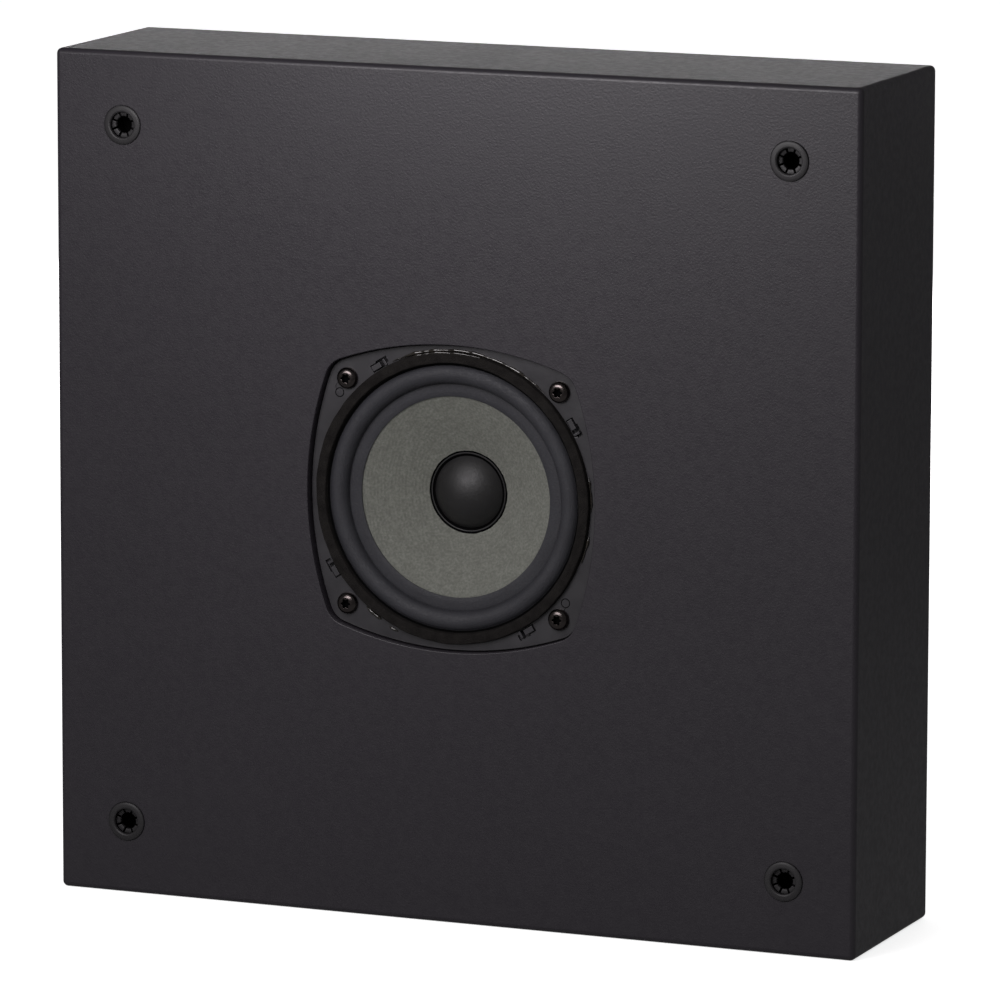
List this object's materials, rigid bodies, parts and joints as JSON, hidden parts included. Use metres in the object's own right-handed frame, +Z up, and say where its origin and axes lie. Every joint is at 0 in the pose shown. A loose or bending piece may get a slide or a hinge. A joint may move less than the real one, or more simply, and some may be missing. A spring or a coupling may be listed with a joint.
{
  "type": "on-wall speaker",
  "caption": "Shallow square on-wall loudspeaker without its grille: black cabinet, round driver in a routed recess, corner grille sockets, keyhole hangers and recessed spring terminals.",
  "frame": {"origin": "centre of the face that lies against the wall", "axes": "+Z up, +Y into the wall, -Y out of the front, +X to the right as seen from the front"},
  "size_m": [0.305, 0.0769, 0.305],
  "materials": {
    "cabinet_paint": "satin black paint with a very fine grain on fibreboard",
    "back_paint": "flat black paint on fibreboard",
    "socket_plastic": "moulded black, satin",
    "gasket_foam": "closed-cell foam, matt",
    "basket_plastic": "moulded black, semi-gloss",
    "surround_rubber": "satin rubber",
    "cone_fibre": "woven olive-grey fibre, matt",
    "dust_cap_coat": "coated black, satin",
    "former_aluminium": "bare foil",
    "coil_copper": "lacquered copper wire",
    "spider_cloth": "resin-stiffened cotton",
    "zinc_steel": "zinc plated",
    "ferrite": "ground ferrite",
    "tag_board_resin": "phenolic board",
    "tinned_brass": "tin plated",
    "lead_copper": "braided copper",
    "black_nickel_screw": "black nickel",
    "cup_plastic": "moulded black, fine texture",
    "black_zinc_screw": "black zinc",
    "gold_brass": "gold plated",
    "red_knob": "moulded red",
    "black_knob": "moulded black",
    "spring_steel": "bright wire",
    "hanger_steel": "zinc plated, pressed",
    "red_wire": "insulated wire",
    "black_wire": "insulated wire",
    "wadding_fibre": "loose polyester fibre"
  },
  "bodies": {
    "cabinet": {"front_baffle": "cabinet_paint", "top_panel": "cabinet_paint", "bottom_panel": "cabinet_paint", "left_panel": "cabinet_paint", "right_panel": "cabinet_paint", "back_panel": "back_paint", "grille_socket_tl": "socket_plastic", "grille_socket_tr": "socket_plastic", "grille_socket_bl": "socket_plastic", "grille_socket_br": "socket_plastic", "seal_gasket": "gasket_foam", "basket": "basket_plastic", "front_gasket": "gasket_foam", "top_plate": "zinc_steel", "magnet": "ferrite", "yoke": "zinc_steel", "tag_board": "tag_board_resin", "driver_tags": "tinned_brass", "flexible_leads": "lead_copper", "driver_screws": "black_nickel_screw", "terminal_cup": "cup_plastic", "cup_gasket": "gasket_foam", "cup_screws": "black_zinc_screw", "terminal_post_plus": "gold_brass", "terminal_post_minus": "gold_brass", "terminal_spring_plus": "spring_steel", "terminal_spring_minus": "spring_steel", "terminal_lugs": "tinned_brass", "terminal_nuts": "zinc_steel", "hanger_left": "hanger_steel", "hanger_right": "hanger_steel", "hanger_screws": "black_zinc_screw", "wire_plus": "red_wire", "wire_minus": "black_wire", "wire_connectors": "tinned_brass", "damping_wadding": "wadding_fibre"},
    "cone_assembly": {"cone": "cone_fibre", "dust_cap": "dust_cap_coat", "coil_former": "former_aluminium", "voice_coil": "coil_copper", "surround": "surround_rubber", "spider": "spider_cloth"},
    "knob_plus": {"terminal_knob_plus": "red_knob"},
    "knob_minus": {"terminal_knob_minus": "black_knob"}
  },
  "joints": [
    {"name": "cone_travel", "type": "slide", "parent": "cabinet", "child": "cone_assembly", "axis": [0, -1, 0], "range_m": [-0.003, 0.003], "stiffness_N_per_m": 1000, "deforming": ["surround", "spider", "flexible_leads"]},
    {"name": "terminal_press_plus", "type": "slide", "parent": "cabinet", "child": "knob_plus", "axis": [0, -1, 0], "range_m": [0, 0.003], "stiffness_N_per_m": 1200, "deforming": ["terminal_spring_plus"]},
    {"name": "terminal_press_minus", "type": "slide", "parent": "cabinet", "child": "knob_minus", "axis": [0, -1, 0], "range_m": [0, 0.003], "stiffness_N_per_m": 1200, "deforming": ["terminal_spring_minus"]}
  ]
}
